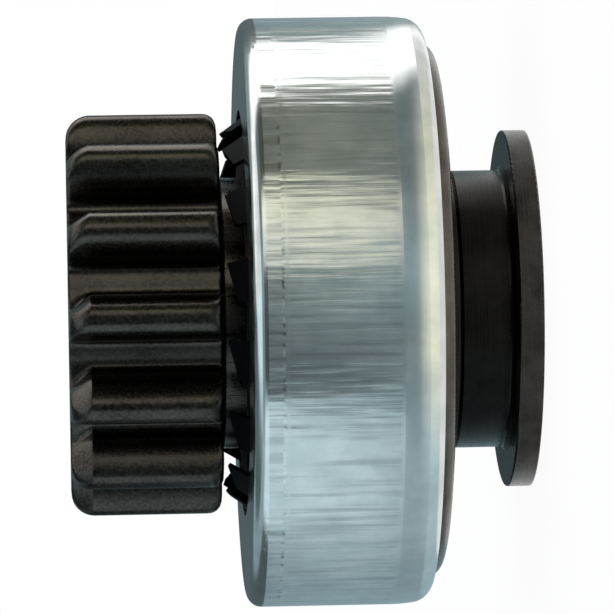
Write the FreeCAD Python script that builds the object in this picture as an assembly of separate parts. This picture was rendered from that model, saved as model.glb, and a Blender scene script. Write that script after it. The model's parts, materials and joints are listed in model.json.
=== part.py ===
import FreeCAD, Part
import math
import os

# Starter drive: a toothed pinion on a roller overrunning clutch, with a groove for the shift fork.
# It stands on the flat rear face of its fork collar. Z runs up the turning axis to the pinion's nose,
# and the origin is the centre of that rear face. All lengths are in millimetres, angles in degrees.

# Pinion teeth
MODULE = 3.0
TOOTH_COUNT = 13
PRESSURE_ANGLE = 20.0
PROFILE_SHIFT = 0.05
ADDENDUM = 2.7
DEDENDUM = 3.3
ROOT_FILLET = 0.9
FIRST_TOOTH_ANGLE = -8.0
FLANK_POINT_COUNT = 7
PINION_FACE_WIDTH = 16.6
NOSE_ROUND = 2.6
REAR_TOOTH_ROUND = 0.9
BEVEL_LENGTH = 2.4
BEVEL_DEPTH = 1.9

# Pinion shank, bore and bushes
RACE_DIAMETER = 30.0
RACE_CHAMFER = 0.5
GROOVE_DIAMETER = 26.2
SHAFT_BORE = 16.0
BUSH_WALL = 1.5
BUSH_LENGTH = 12.0
BUSH_RECESS = 0.9
BUSH_CHAMFER = 0.4
BORE_STEP = 0.5
MOUTH_CHAMFER = 0.8

# Rollers, their ramps and their springs
ROLLER_COUNT = 5
FIRST_ROLLER_ANGLE = 18.0
ROLLER_DIAMETER = 8.94
ROLLER_LENGTH = 11.5
ROLLER_END_PLAY = 0.3
ROLLER_EDGE = 0.4
ROLLER_PLAY = 0.03
RAMP_ANGLE = 7.0
ROLLER_TRAVEL = 1.4
NARROW_END_GAP = 0.4
POCKET_CORNER = 2.0
NEST_WIDTH = 5.2
NEST_LENGTH = 9.3
NEST_CORNER = 0.8
SPRING_SEAT_DEPTH = 1.0
SHOE_SHEET = 0.5
SHOE_LEG = 3.2
SHOE_SIDE_PLAY = 0.1
SHOE_END_PLAY = 0.4
SHOE_PIN_DIAMETER = 2.0
SHOE_PIN_LENGTH = 1.6
SPRING_DIAMETER = 3.6
SPRING_WIRE = 0.5
SPRING_TURNS = 6.0
SPRING_PLAY = 0.1

# Housing, with its sleeve and splined bore
BACK_WALL = 4.2
HOUSING_WALL = 7.35
RIM_WIDTH = 1.55
RIM_ROUND = 0.9
BOSS_HEIGHT = 1.4
BOSS_ROUND = 2.0
RACE_GAP = 0.2
HUB_LENGTH = 1.75
HUB_FILLET = 0.5
SLEEVE_WALL = 2.2
SLEEVE_RECESS = 0.4
SLEEVE_CHAMFER = 0.4
SPLINE_COUNT = 10
SPLINE_MINOR_DIAMETER = 18.6
SPLINE_DEPTH = 1.7
SPLINE_GROOVE_ANGLE = 19.0
SPLINE_HELIX_ANGLE = 20.0
SPLINE_MOUTH_CHAMFER = 1.2

# Fork collar and its snap ring
COLLAR_WALL = 2.2
FLANGE_HEIGHT = 4.4
FLANGE_THICKNESS = 2.7
FLANGE_ROUND = 0.2
FORK_GROOVE_WIDTH = 7.5
FORK_GROOVE_FILLET = 0.6
JOINT_CHAMFER = 0.2
SNAP_RING_WIRE = 1.6
SNAP_RING_OPENING = 24.0
SNAP_RING_PLAY = 0.4

# Cover, drawn from sheet and rolled over the housing
COVER_SHEET = 1.2
COVER_CORNER = 1.6
PINION_PASS_GAP = 0.3
LIP_WIDTH = 1.2
ROLL_HEIGHT = 1.65
ROLL_BULGE = 0.26
ROLL_INNER_ROUND = 0.7
TAPER_LENGTH = 2.65
TAPER_DROP = 0.2
COVER_SIDE_PLAY = 0.05

# Plates, half washers and seal between the pockets and the cover's front
POCKET_PLATE = 0.8
HALF_WASHER = 1.8
HALF_WASHER_REACH = 4.5
HALF_WASHER_SPLIT = 0.3
RETAINER_WEB = 1.15
SEAL_REACH = 3.4
SEAL_SEAT_DEPTH = 0.5
SEAL_THICKNESS = 2.2
SEAL_SIDE_PLAY = 0.05

# Star washer, held under the cover's front, with petals that rise through its opening
PETAL_COUNT = 15
FIRST_PETAL_ANGLE = -8.6
STAR_SHEET = 0.5
STAR_RING_MARGIN = 2.35
NOTCH_OVERLAP = 0.2
PETAL_MARGIN = 1.1
PETAL_LEAN = 35.0
PETAL_RISE = 2.2
PETAL_TIP_DROP = 1.1
PETAL_GAP = 4.1
PETAL_BEND = 0.4

# Running gaps between pieces that turn on each other, and seats between pieces that are fixed together
SHAFT_GAP = 0.25
AXIAL_GAP = 0.1
SEAT_GAP = 0.01
PINION_GAP = 2.6

# How far a cutting shape runs past the face that it opens
OVERRUN = 0.5

# Heights along the axis, from the rear face of the collar up to the pinion's nose
BACK_FACE_Z = FLANGE_THICKNESS + FORK_GROOVE_WIDTH
HUB_Z = BACK_FACE_Z - HUB_LENGTH
COVER_REAR_Z = BACK_FACE_Z + BOSS_HEIGHT
RIM_Z = COVER_REAR_Z + COVER_SHEET
POCKET_FLOOR_Z = BACK_FACE_Z + BACK_WALL
HOUSING_TOP_Z = POCKET_FLOOR_Z + ROLLER_LENGTH + ROLLER_END_PLAY
PLATE_TOP_Z = HOUSING_TOP_Z + POCKET_PLATE
HALF_WASHER_Z = PLATE_TOP_Z + AXIAL_GAP / 2
RETAINER_WEB_Z = HALF_WASHER_Z + HALF_WASHER + AXIAL_GAP / 2
RETAINER_TOP_Z = RETAINER_WEB_Z + RETAINER_WEB
STAR_TOP_Z = RETAINER_TOP_Z + STAR_SHEET
COVER_TOP_Z = STAR_TOP_Z + COVER_SHEET
TEETH_Z = COVER_TOP_Z + PINION_GAP
NOSE_Z = TEETH_Z + PINION_FACE_WIDTH
RACE_END_Z = POCKET_FLOOR_Z + AXIAL_GAP
GROOVE_Z = HALF_WASHER_Z - AXIAL_GAP / 2
GROOVE_TOP_Z = HALF_WASHER_Z + HALF_WASHER + AXIAL_GAP / 2

# Radii shared by pieces that fit each other
PITCH_RADIUS = MODULE * TOOTH_COUNT / 2
BASE_RADIUS = PITCH_RADIUS * math.cos(math.radians(PRESSURE_ANGLE))
TIP_RADIUS = PITCH_RADIUS + ADDENDUM
ROOT_RADIUS = PITCH_RADIUS - DEDENDUM
RACE_RADIUS = RACE_DIAMETER / 2
ROLLER_RADIUS = ROLLER_DIAMETER / 2
BUSH_RADIUS = SHAFT_BORE / 2 + BUSH_WALL
HOUSING_BORE_RADIUS = RACE_RADIUS + RACE_GAP
HOUSING_RADIUS = RACE_RADIUS + 2 * (ROLLER_RADIUS + ROLLER_PLAY) + HOUSING_WALL
BOSS_RADIUS = HOUSING_RADIUS - RIM_WIDTH
COVER_RADIUS = HOUSING_RADIUS + COVER_SIDE_PLAY + COVER_SHEET
OPENING_RADIUS = TIP_RADIUS + PINION_PASS_GAP
PETAL_RADIUS = OPENING_RADIUS - PETAL_MARGIN
HALF_WASHER_RADIUS = RACE_RADIUS + HALF_WASHER_REACH
SEAL_RADIUS = RACE_RADIUS + SEAL_REACH
SPLINE_MINOR_RADIUS = SPLINE_MINOR_DIAMETER / 2
SPLINE_MAJOR_RADIUS = SPLINE_MINOR_RADIUS + SPLINE_DEPTH
SLEEVE_RADIUS = SPLINE_MAJOR_RADIUS + SLEEVE_WALL
HUB_RADIUS = SLEEVE_RADIUS + COLLAR_WALL
FLANGE_RADIUS = HUB_RADIUS + FLANGE_HEIGHT
SNAP_WIRE_RADIUS = SNAP_RING_WIRE / 2
SNAP_RING_Z = SLEEVE_RECESS + SNAP_RING_WIRE * 0.7
RECESS_Z = SNAP_RING_Z + SNAP_WIRE_RADIUS

# Places in a roller pocket, along its ramp from the wedged roller's centre, and square to the ramp
ROLLER_CIRCLE = RACE_RADIUS + ROLLER_PLAY + ROLLER_RADIUS
RAMP_HEIGHT = ROLLER_RADIUS + ROLLER_PLAY
NARROW_END = -(ROLLER_RADIUS + NARROW_END_GAP)
NEST_HALF = NEST_WIDTH / 2
NEST_MOUTH = math.sqrt(RAMP_HEIGHT ** 2 - NEST_HALF ** 2) + ROLLER_TRAVEL + SHOE_SIDE_PLAY
NEST_END = NEST_MOUTH + NEST_LENGTH
SHOE_FACE = ROLLER_RADIUS + ROLLER_PLAY
POCKET_MIDDLE_Z = (POCKET_FLOOR_Z + HOUSING_TOP_Z) / 2

AXIS = FreeCAD.Vector(0, 0, 1)
ORIGIN = FreeCAD.Vector(0, 0, 0)


def unit(a, b):
    length = math.hypot(a, b)
    return a / length, b / length


def rounded_wire(corners, place):
    """Closed wire through corners given as (a, b) or (a, b, radius); place turns (a, b) into a point."""
    count = len(corners)
    stops = []
    for index, corner in enumerate(corners):
        a, b = corner[:2]
        radius = corner[2] if len(corner) > 2 else 0.0
        if radius == 0.0:
            stops.append(((a, b), None, (a, b)))
            continue
        before = corners[index - 1]
        after = corners[(index + 1) % count]
        back = unit(before[0] - a, before[1] - b)
        ahead = unit(after[0] - a, after[1] - b)
        half = math.acos(back[0] * ahead[0] + back[1] * ahead[1]) / 2
        inward = unit(back[0] + ahead[0], back[1] + ahead[1])
        cut = radius / math.tan(half)
        depth = radius / math.sin(half) - radius
        stops.append((
            (a + back[0] * cut, b + back[1] * cut),
            (a + inward[0] * depth, b + inward[1] * depth),
            (a + ahead[0] * cut, b + ahead[1] * cut),
        ))
    edges = []
    for index, (start, middle, end) in enumerate(stops):
        if middle:
            edges.append(Part.Arc(place(*start), place(*middle), place(*end)).toShape())
        next_start = stops[(index + 1) % count][0]
        if math.dist(end, next_start) > 1e-6:
            edges.append(Part.LineSegment(place(*end), place(*next_start)).toShape())
    return Part.Wire(edges)


def in_section(radius, height):
    return FreeCAD.Vector(radius, 0, height)


def turned(corners, sweep=360.0):
    """Solid of revolution about the axis from (radius, height) corners."""
    face = Part.Face(rounded_wire(corners, in_section))
    return face.revolve(ORIGIN, AXIS, sweep)


def ring(inner, outer, bottom, top):
    return turned([(inner, bottom), (outer, bottom), (outer, top), (inner, top)])


def turned_round(shape, angle):
    copy = shape.copy()
    copy.rotate(ORIGIN, AXIS, angle)
    return copy


def around(shape, count, first=0.0):
    """Copies of a shape, evenly spaced about the axis."""
    return [turned_round(shape, first + index * 360.0 / count) for index in range(count)]


def polar(radius, angle, height=0.0):
    return FreeCAD.Vector(radius * math.cos(angle), radius * math.sin(angle), height)


# Pinion

def involute(angle):
    return math.tan(angle) - angle


def half_tooth_angle(radius):
    """Half of a tooth's angle at a radius; below the base circle the flank is radial."""
    pressure = math.radians(PRESSURE_ANGLE)
    at_pitch = math.pi / (2 * TOOTH_COUNT) + 2 * PROFILE_SHIFT * math.tan(pressure) / TOOTH_COUNT
    local = math.acos(min(1.0, BASE_RADIUS / radius))
    return at_pitch + involute(pressure) - involute(local)


def tooth_edges(middle, height):
    """Edges of one tooth, from the root land before it to the root land after it."""
    last = FLANK_POINT_COUNT - 1
    radii = [BASE_RADIUS + (TIP_RADIUS - BASE_RADIUS) * (i / last) ** 1.5 for i in range(FLANK_POINT_COUNT)]
    low = half_tooth_angle(BASE_RADIUS)
    fillet_centre = ROOT_RADIUS + ROOT_FILLET
    fillet_angle = low + math.asin(ROOT_FILLET / fillet_centre)
    flank_start = math.sqrt(fillet_centre ** 2 - ROOT_FILLET ** 2)

    def flank(side):
        points = [polar(r, middle + side * half_tooth_angle(r), height) for r in radii]
        curve = Part.BSplineCurve()
        curve.interpolate(points if side < 0 else points[::-1])
        return curve.toShape()

    def fillet(side):
        centre = polar(fillet_centre, middle + side * fillet_angle, height)
        root = polar(ROOT_RADIUS, middle + side * fillet_angle, height)
        top = polar(flank_start, middle + side * low, height)
        bisector = (root + top) * 0.5 - centre
        bend = centre + bisector.normalize() * ROOT_FILLET
        ends = (root, bend, top) if side < 0 else (top, bend, root)
        return Part.Arc(*ends).toShape()

    def straight(side):
        angle = middle + side * low
        ends = [polar(flank_start, angle, height), polar(BASE_RADIUS, angle, height)]
        return Part.LineSegment(*(ends if side < 0 else ends[::-1])).toShape()

    tip_angle = half_tooth_angle(TIP_RADIUS)
    pitch = 2 * math.pi / TOOTH_COUNT
    tip = Part.Arc(*(polar(TIP_RADIUS, middle + k * tip_angle, height) for k in (-1, 0, 1))).toShape()
    gap_ends = (fillet_angle, pitch / 2, pitch - fillet_angle)
    land = Part.Arc(*(polar(ROOT_RADIUS, middle + a, height) for a in gap_ends)).toShape()
    return [fillet(-1), straight(-1), flank(-1), tip, flank(1), straight(1), fillet(1), land]


def toothed_block():
    edges = []
    for index in range(TOOTH_COUNT):
        middle = math.radians(FIRST_TOOTH_ANGLE) + index * 2 * math.pi / TOOTH_COUNT
        edges += tooth_edges(middle, TEETH_Z)
    face = Part.Face(Part.Wire(edges))
    teeth = face.extrude(AXIS * PINION_FACE_WIDTH)
    envelope = turned([
        (0, TEETH_Z),
        (TIP_RADIUS, TEETH_Z, REAR_TOOTH_ROUND),
        (TIP_RADIUS, NOSE_Z, NOSE_ROUND),
        (0, NOSE_Z),
    ])
    return teeth.common(envelope)


def entry_bevel():
    """Wedge that cuts the trailing flank of the tooth at angle 0 down to a narrow lead-in at the nose."""
    low = polar(BASE_RADIUS, half_tooth_angle(BASE_RADIUS))
    high = polar(TIP_RADIUS, half_tooth_angle(TIP_RADIUS))
    along = (high - low).normalize()
    outward = AXIS.cross(along)
    start = low - along * (BASE_RADIUS - ROOT_RADIUS)
    clear = BEVEL_DEPTH / 2
    overrun = clear * BEVEL_LENGTH / BEVEL_DEPTH

    def corner(out, height):
        return start + outward * out + AXIS * height

    section = Part.makePolygon([
        corner(clear, NOSE_Z - BEVEL_LENGTH - overrun),
        corner(clear, NOSE_Z + overrun),
        corner(-BEVEL_DEPTH - clear, NOSE_Z + overrun),
        corner(clear, NOSE_Z - BEVEL_LENGTH - overrun),
    ])
    height = (high - start).Length + TIP_RADIUS - ROOT_RADIUS
    return Part.Face(section).extrude(along * height)


def pinion():
    shank = turned([
        (0, RACE_END_Z),
        (RACE_RADIUS - RACE_CHAMFER, RACE_END_Z),
        (RACE_RADIUS, RACE_END_Z + RACE_CHAMFER),
        (RACE_RADIUS, GROOVE_Z),
        (GROOVE_DIAMETER / 2, GROOVE_Z),
        (GROOVE_DIAMETER / 2, GROOVE_TOP_Z),
        (RACE_RADIUS, GROOVE_TOP_Z),
        (RACE_RADIUS, TEETH_Z + MODULE),
        (0, TEETH_Z + MODULE),
    ])
    step_radius = BUSH_RADIUS - BORE_STEP
    rear_step = RACE_END_Z + BUSH_RECESS + BUSH_LENGTH
    front_step = NOSE_Z - BUSH_RECESS - BUSH_LENGTH
    bore = turned([
        (0, RACE_END_Z),
        (BUSH_RADIUS + MOUTH_CHAMFER, RACE_END_Z),
        (BUSH_RADIUS, RACE_END_Z + MOUTH_CHAMFER),
        (BUSH_RADIUS, rear_step),
        (step_radius, rear_step),
        (step_radius, front_step),
        (BUSH_RADIUS, front_step),
        (BUSH_RADIUS, NOSE_Z - MOUTH_CHAMFER),
        (BUSH_RADIUS + MOUTH_CHAMFER, NOSE_Z),
        (0, NOSE_Z),
    ])
    bevels = around(entry_bevel(), TOOTH_COUNT, FIRST_TOOTH_ANGLE)
    return toothed_block().cut(bevels).fuse(shank).cut(bore).removeSplitter()


def bush(bottom):
    inner = SHAFT_BORE / 2
    outer = BUSH_RADIUS - SEAT_GAP
    top = bottom + BUSH_LENGTH
    return turned([
        (inner + BUSH_CHAMFER, bottom),
        (outer - BUSH_CHAMFER, bottom),
        (outer, bottom + BUSH_CHAMFER),
        (outer, top - BUSH_CHAMFER),
        (outer - BUSH_CHAMFER, top),
        (inner + BUSH_CHAMFER, top),
        (inner, top - BUSH_CHAMFER),
        (inner, bottom + BUSH_CHAMFER),
    ])


# Clutch housing

def ramp_angle():
    return math.radians(RAMP_ANGLE)


def along_ramp():
    """Direction in which the roller of the pocket at angle 0 moves to come free."""
    return FreeCAD.Vector(math.sin(ramp_angle()), -math.cos(ramp_angle()), 0)


def square_to_ramp():
    return FreeCAD.Vector(math.cos(ramp_angle()), math.sin(ramp_angle()), 0)


def in_pocket(travel, rise, height=0.0):
    """Point in the pocket at angle 0, along the ramp and square to it from the wedged roller's centre."""
    centre = FreeCAD.Vector(ROLLER_CIRCLE, 0, height)
    return centre + along_ramp() * travel + square_to_ramp() * rise


def pocket():
    """Space for one roller, its shoe and its spring, open to the bore."""
    inside = -(ROLLER_RADIUS + HOUSING_BORE_RADIUS / 6)
    outline = rounded_wire([
        (NARROW_END, inside),
        (NARROW_END, RAMP_HEIGHT, POCKET_CORNER),
        (NEST_MOUTH, RAMP_HEIGHT, NEST_CORNER),
        (NEST_MOUTH, NEST_HALF),
        (NEST_END, NEST_HALF, NEST_CORNER),
        (NEST_END, -NEST_HALF, NEST_CORNER),
        (NEST_MOUTH, -NEST_HALF),
        (NEST_MOUTH, inside),
    ], lambda travel, rise: in_pocket(travel, rise, POCKET_FLOOR_Z))
    space = Part.Face(outline).extrude(AXIS * (HOUSING_TOP_Z - POCKET_FLOOR_Z))
    seat_radius = SPRING_DIAMETER / 2 + SPRING_PLAY
    seat_start = in_pocket(NEST_END, 0, POCKET_MIDDLE_Z)
    seat = Part.makeCylinder(seat_radius, SPRING_SEAT_DEPTH, seat_start, along_ramp())
    return space.fuse(seat)


def spline_groove(bottom, top):
    """One helical groove of the sleeve's bore, centred on angle 0 at the bottom."""
    mean_radius = (SPLINE_MINOR_RADIUS + SPLINE_MAJOR_RADIUS) / 2
    lead = 2 * math.pi * mean_radius / math.tan(math.radians(SPLINE_HELIX_ANGLE))
    spine = Part.makeHelix(lead, top - bottom, mean_radius)
    half = math.radians(SPLINE_GROOVE_ANGLE) / 2
    low = SPLINE_MINOR_RADIUS - OVERRUN
    high = SPLINE_MAJOR_RADIUS
    section = Part.Wire([
        Part.LineSegment(polar(low, -half), polar(high, -half)).toShape(),
        Part.Arc(polar(high, -half), polar(high, 0), polar(high, half)).toShape(),
        Part.LineSegment(polar(high, half), polar(low, half)).toShape(),
        Part.LineSegment(polar(low, half), polar(low, -half)).toShape(),
    ])
    groove = Part.Wire(spine.Edges).makePipeShell([section], True, True)
    groove.translate(AXIS * bottom)
    return groove


def drive_housing():
    body = turned([
        (SPLINE_MINOR_RADIUS + SPLINE_MOUTH_CHAMFER, SLEEVE_RECESS),
        (SLEEVE_RADIUS - SLEEVE_CHAMFER, SLEEVE_RECESS),
        (SLEEVE_RADIUS, SLEEVE_RECESS + SLEEVE_CHAMFER),
        (SLEEVE_RADIUS, HUB_Z),
        (HUB_RADIUS - JOINT_CHAMFER, HUB_Z),
        (HUB_RADIUS, HUB_Z + JOINT_CHAMFER),
        (HUB_RADIUS, BACK_FACE_Z, HUB_FILLET),
        (BOSS_RADIUS, BACK_FACE_Z, BOSS_ROUND),
        (BOSS_RADIUS, RIM_Z),
        (HOUSING_RADIUS, RIM_Z, RIM_ROUND),
        (HOUSING_RADIUS, HOUSING_TOP_Z),
        (HOUSING_BORE_RADIUS, HOUSING_TOP_Z),
        (HOUSING_BORE_RADIUS, POCKET_FLOOR_Z),
        (SPLINE_MINOR_RADIUS, POCKET_FLOOR_Z),
        (SPLINE_MINOR_RADIUS, SLEEVE_RECESS + SPLINE_MOUTH_CHAMFER),
    ])
    snap_groove = ring(SLEEVE_RADIUS - SNAP_WIRE_RADIUS, SLEEVE_RADIUS + SNAP_WIRE_RADIUS,
                       SNAP_RING_Z - SNAP_WIRE_RADIUS, SNAP_RING_Z + SNAP_WIRE_RADIUS)
    grooves = around(spline_groove(SLEEVE_RECESS - OVERRUN, POCKET_FLOOR_Z + OVERRUN), SPLINE_COUNT)
    pockets = around(pocket(), ROLLER_COUNT, FIRST_ROLLER_ANGLE)
    return body.cut(pockets + grooves + [snap_groove])


# Rollers, shoes and springs, each made in the pocket at angle 0

def roller():
    floor = POCKET_FLOOR_Z + ROLLER_END_PLAY / 3
    top = floor + ROLLER_LENGTH
    at_centre = turned([
        (0, floor),
        (ROLLER_RADIUS - ROLLER_EDGE, floor),
        (ROLLER_RADIUS, floor + ROLLER_EDGE),
        (ROLLER_RADIUS, top - ROLLER_EDGE),
        (ROLLER_RADIUS - ROLLER_EDGE, top),
        (0, top),
    ])
    at_centre.translate(in_pocket(0, 0))
    return at_centre


def spring_shoe():
    """Stamped channel whose web bears on the roller, with a pin that centres the spring."""
    half = NEST_HALF - SHOE_SIDE_PLAY
    inner = half - SHOE_SHEET
    back = SHOE_FACE + SHOE_SHEET
    tip = SHOE_FACE + SHOE_LEG
    bottom = POCKET_FLOOR_Z + SHOE_END_PLAY / 2
    height = HOUSING_TOP_Z - POCKET_FLOOR_Z - SHOE_END_PLAY
    outline = rounded_wire([
        (SHOE_FACE, -half, SHOE_SHEET),
        (SHOE_FACE, half, SHOE_SHEET),
        (tip, half),
        (tip, inner),
        (back, inner),
        (back, -inner),
        (tip, -inner),
        (tip, -half),
    ], lambda travel, rise: in_pocket(travel, rise, bottom))
    channel = Part.Face(outline).extrude(AXIS * height)
    pin = Part.makeCylinder(SHOE_PIN_DIAMETER / 2, SHOE_PIN_LENGTH + SHOE_SHEET / 2,
                            in_pocket(back - SHOE_SHEET / 2, 0, POCKET_MIDDLE_Z), along_ramp())
    return channel.fuse(pin)


def spring():
    """Coil spring from the shoe's web to the bottom of its seat in the nest's end wall."""
    start = SHOE_FACE + SHOE_SHEET + SPRING_WIRE / 2 + SPRING_PLAY / 2
    end = NEST_END + SPRING_SEAT_DEPTH - SPRING_WIRE / 2 - SPRING_PLAY / 2
    radius = (SPRING_DIAMETER - SPRING_WIRE) / 2
    length = end - start
    helix = Part.makeHelix(length / SPRING_TURNS, length, radius)
    rise = math.atan2(length / SPRING_TURNS, 2 * math.pi * radius)
    tangent = FreeCAD.Vector(0, math.cos(rise), math.sin(rise))
    section = Part.Wire(Part.makeCircle(SPRING_WIRE / 2, FreeCAD.Vector(radius, 0, 0), tangent))
    coil = Part.Wire(helix.Edges).makePipeShell([section], True, True)
    turn = FreeCAD.Rotation(AXIS, along_ramp())
    coil.Placement = FreeCAD.Placement(in_pocket(start, 0, POCKET_MIDDLE_Z), turn)
    return coil


# Fork collar and snap ring

def fork_collar():
    inner = SLEEVE_RADIUS + SEAT_GAP
    recess = SLEEVE_RADIUS + SNAP_WIRE_RADIUS + SNAP_RING_PLAY
    return turned([
        (recess, 0),
        (FLANGE_RADIUS, 0, FLANGE_ROUND),
        (FLANGE_RADIUS, FLANGE_THICKNESS, FLANGE_ROUND),
        (HUB_RADIUS, FLANGE_THICKNESS, FORK_GROOVE_FILLET),
        (HUB_RADIUS, HUB_Z - JOINT_CHAMFER),
        (HUB_RADIUS - JOINT_CHAMFER, HUB_Z),
        (inner, HUB_Z),
        (inner, RECESS_Z),
        (recess, RECESS_Z),
    ])


def snap_ring():
    """Round wire ring with a gap, sprung into the groove of the sleeve."""
    wire_radius = SNAP_WIRE_RADIUS - SEAT_GAP
    circle = Part.Wire(Part.makeCircle(wire_radius, FreeCAD.Vector(SLEEVE_RADIUS, 0, SNAP_RING_Z),
                                       FreeCAD.Vector(0, 1, 0)))
    bent = Part.Face(circle).revolve(ORIGIN, AXIS, 360.0 - SNAP_RING_OPENING)
    return turned_round(bent, SNAP_RING_OPENING / 2)


# Cover and the plates under it

def cover():
    outer = COVER_RADIUS
    inner = outer - COVER_SHEET
    opening = OPENING_RADIUS
    edge = BOSS_RADIUS + COVER_SIDE_PLAY
    taper_z = COVER_REAR_Z + ROLL_HEIGHT
    roll_start = in_section(outer - TAPER_DROP, taper_z)
    roll_end = in_section(edge + LIP_WIDTH, COVER_REAR_Z)
    chord = roll_end - roll_start
    square = FreeCAD.Vector(-chord.z, 0, chord.x).normalize()
    roll_middle = roll_start + chord * 0.5 + square * ROLL_BULGE
    taper_start = in_section(outer, taper_z + TAPER_LENGTH)
    taper_middle = in_section(outer - TAPER_DROP * 0.25, taper_z + TAPER_LENGTH / 2)
    corner = COVER_CORNER * (1 - math.sqrt(0.5))
    front_start = in_section(outer - COVER_CORNER, COVER_TOP_Z)
    front_middle = in_section(outer - corner, COVER_TOP_Z - corner)
    front_end = in_section(outer, COVER_TOP_Z - COVER_CORNER)
    inner_corner = COVER_CORNER - COVER_SHEET
    inset = inner_corner * (1 - math.sqrt(0.5))
    rim_inset = ROLL_INNER_ROUND * (1 - math.sqrt(0.5))
    edges = [
        Part.LineSegment(in_section(edge, COVER_REAR_Z), roll_end),
        Part.Arc(roll_end, roll_middle, roll_start),
        Part.Arc(roll_start, taper_middle, taper_start),
        Part.LineSegment(taper_start, front_end),
        Part.Arc(front_end, front_middle, front_start),
        Part.LineSegment(front_start, in_section(opening, COVER_TOP_Z)),
        Part.LineSegment(in_section(opening, COVER_TOP_Z), in_section(opening, STAR_TOP_Z)),
        Part.LineSegment(in_section(opening, STAR_TOP_Z), in_section(inner - inner_corner, STAR_TOP_Z)),
        Part.Arc(in_section(inner - inner_corner, STAR_TOP_Z), in_section(inner - inset, STAR_TOP_Z - inset),
                 in_section(inner, STAR_TOP_Z - inner_corner)),
        Part.LineSegment(in_section(inner, STAR_TOP_Z - inner_corner),
                         in_section(inner, RIM_Z + ROLL_INNER_ROUND)),
        Part.Arc(in_section(inner, RIM_Z + ROLL_INNER_ROUND), in_section(inner - rim_inset, RIM_Z + rim_inset),
                 in_section(inner - ROLL_INNER_ROUND, RIM_Z)),
        Part.LineSegment(in_section(inner - ROLL_INNER_ROUND, RIM_Z), in_section(edge, RIM_Z)),
        Part.LineSegment(in_section(edge, RIM_Z), in_section(edge, COVER_REAR_Z)),
    ]
    wire = Part.Wire([edge_curve.toShape() for edge_curve in edges])
    return Part.Face(wire).revolve(ORIGIN, AXIS, 360.0)


def pocket_plate():
    return ring(RACE_RADIUS + SHAFT_GAP, HOUSING_RADIUS, HOUSING_TOP_Z, PLATE_TOP_Z)


def half_washer(first_angle):
    """Half of a ring in the pinion's groove, cut back by half the split at both ends."""
    section = [
        (GROOVE_DIAMETER / 2 + AXIAL_GAP, HALF_WASHER_Z),
        (HALF_WASHER_RADIUS, HALF_WASHER_Z),
        (HALF_WASHER_RADIUS, HALF_WASHER_Z + HALF_WASHER),
        (GROOVE_DIAMETER / 2 + AXIAL_GAP, HALF_WASHER_Z + HALF_WASHER),
    ]
    half = turned(section, 180.0)
    reach = HALF_WASHER_RADIUS + OVERRUN
    slot_corner = FreeCAD.Vector(-reach, -HALF_WASHER_SPLIT / 2, HALF_WASHER_Z - OVERRUN)
    slot = Part.makeBox(2 * reach, HALF_WASHER_SPLIT, HALF_WASHER + 2 * OVERRUN, slot_corner)
    return turned_round(half.cut(slot), first_angle)


def retainer_plate():
    seal_seat = SEAL_RADIUS + SEAL_SIDE_PLAY
    return turned([
        (RACE_RADIUS + SHAFT_GAP, RETAINER_WEB_Z),
        (HALF_WASHER_RADIUS + AXIAL_GAP, RETAINER_WEB_Z),
        (HALF_WASHER_RADIUS + AXIAL_GAP, PLATE_TOP_Z),
        (HOUSING_RADIUS, PLATE_TOP_Z),
        (HOUSING_RADIUS, RETAINER_TOP_Z),
        (seal_seat, RETAINER_TOP_Z),
        (seal_seat, RETAINER_TOP_Z - SEAL_SEAT_DEPTH),
        (RACE_RADIUS + SHAFT_GAP, RETAINER_TOP_Z - SEAL_SEAT_DEPTH),
    ])


def felt_seal():
    bottom = RETAINER_TOP_Z - SEAL_SEAT_DEPTH
    return ring(RACE_RADIUS + AXIAL_GAP, SEAL_RADIUS, bottom, bottom + SEAL_THICKNESS)


# Star washer

def petal_notch(tip_z):
    """Space between two petals, at angle 0, that also trims the next petal's tip to a slant."""
    half = PETAL_GAP / 2
    tip_radius = PETAL_RADIUS - PETAL_RISE * math.tan(math.radians(PETAL_LEAN))
    width = 2 * math.pi * tip_radius / PETAL_COUNT - PETAL_GAP
    inside = tip_radius - MODULE
    outline = [
        (-half, RETAINER_TOP_Z - STAR_SHEET),
        (half, RETAINER_TOP_Z - STAR_SHEET),
        (half, tip_z - PETAL_TIP_DROP),
        (half + width, tip_z),
        (half + width, tip_z + STAR_SHEET),
        (-half, tip_z + STAR_SHEET),
    ]
    points = [FreeCAD.Vector(inside, across, height) for across, height in outline]
    face = Part.Face(Part.makePolygon(points + points[:1]))
    return face.extrude(FreeCAD.Vector(OPENING_RADIUS + NOTCH_OVERLAP - inside, 0, 0))


def star_washer():
    lean = math.radians(PETAL_LEAN)
    ring_radius = HOUSING_RADIUS - STAR_RING_MARGIN
    tip_z = COVER_TOP_Z + PETAL_RISE

    def outside(height):
        return PETAL_RADIUS - (height - COVER_TOP_Z) * math.tan(lean), height

    def inside(height):
        return outside(height)[0] - STAR_SHEET / math.cos(lean), height

    low_tip_z = tip_z - STAR_SHEET * math.sin(lean)
    full = turned([
        (ring_radius, RETAINER_TOP_Z),
        inside(RETAINER_TOP_Z) + (PETAL_BEND + STAR_SHEET,),
        inside(low_tip_z),
        outside(tip_z),
        outside(STAR_TOP_Z) + (PETAL_BEND,),
        (ring_radius, STAR_TOP_Z),
    ])
    first = FIRST_PETAL_ANGLE + 180.0 / PETAL_COUNT
    return full.cut(around(petal_notch(tip_z), PETAL_COUNT, first))


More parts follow.
